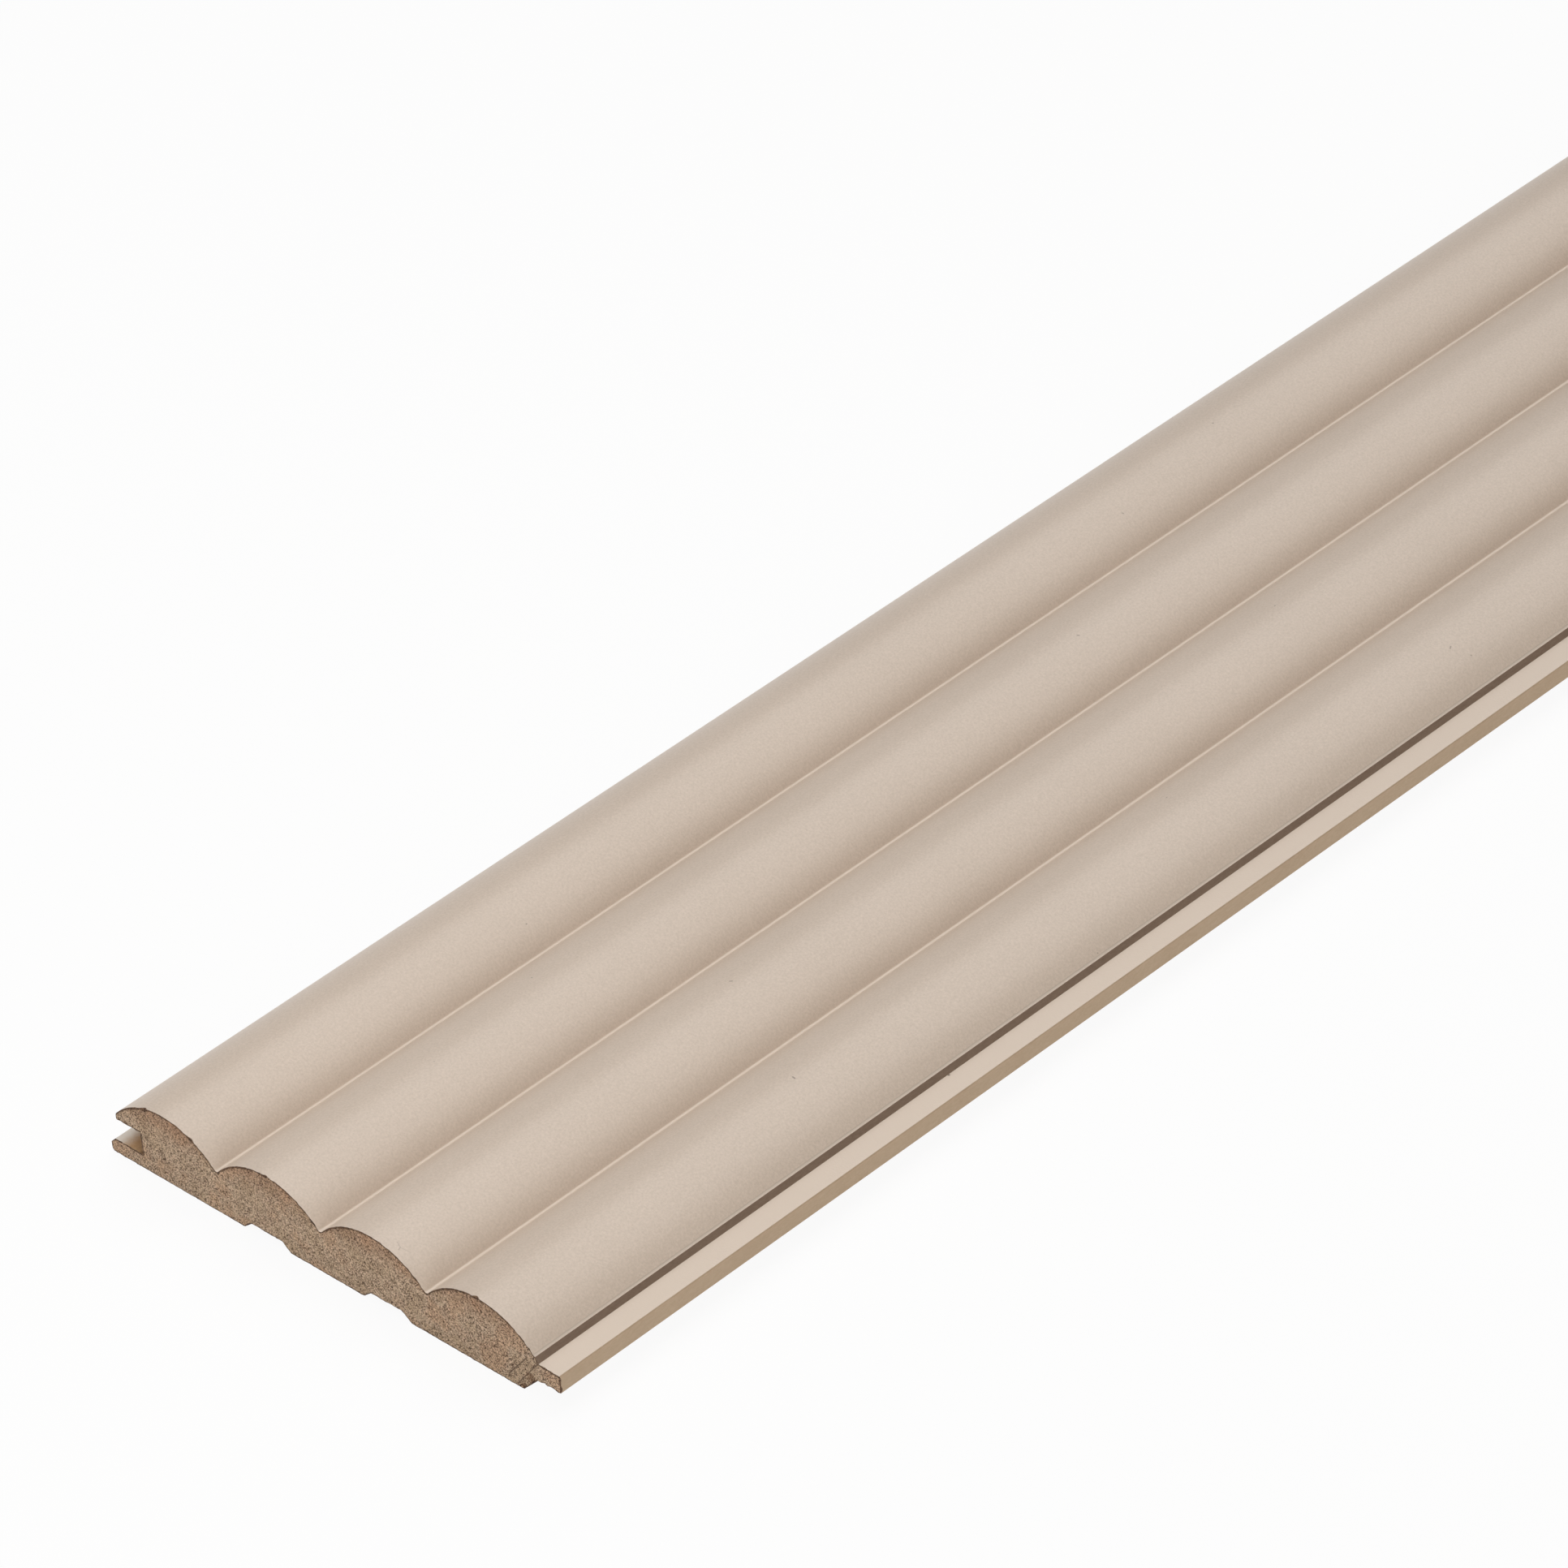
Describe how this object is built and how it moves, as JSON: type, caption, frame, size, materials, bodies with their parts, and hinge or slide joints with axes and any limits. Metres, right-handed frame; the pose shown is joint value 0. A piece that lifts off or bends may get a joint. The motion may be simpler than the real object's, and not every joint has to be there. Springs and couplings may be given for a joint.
{
  "type": "mdf wall panel",
  "caption": "Fluted tongue-and-groove MDF wall panel: rounded ribs on a beige painted face, bare sawn ends and shallow grooves along the back.",
  "frame": {"origin": "centre of the length and of the overall width, on the back face", "axes": "+Y along the length, +X from the groove edge to the tongue edge, +Z out of the fluted face"},
  "size_m": [0.1204, 2.6, 0.016],
  "materials": {
    "painted_mdf": "matt"
  },
  "bodies": {
    "root": {"wall_panel": "painted_mdf"}
  },
  "joints": []
}
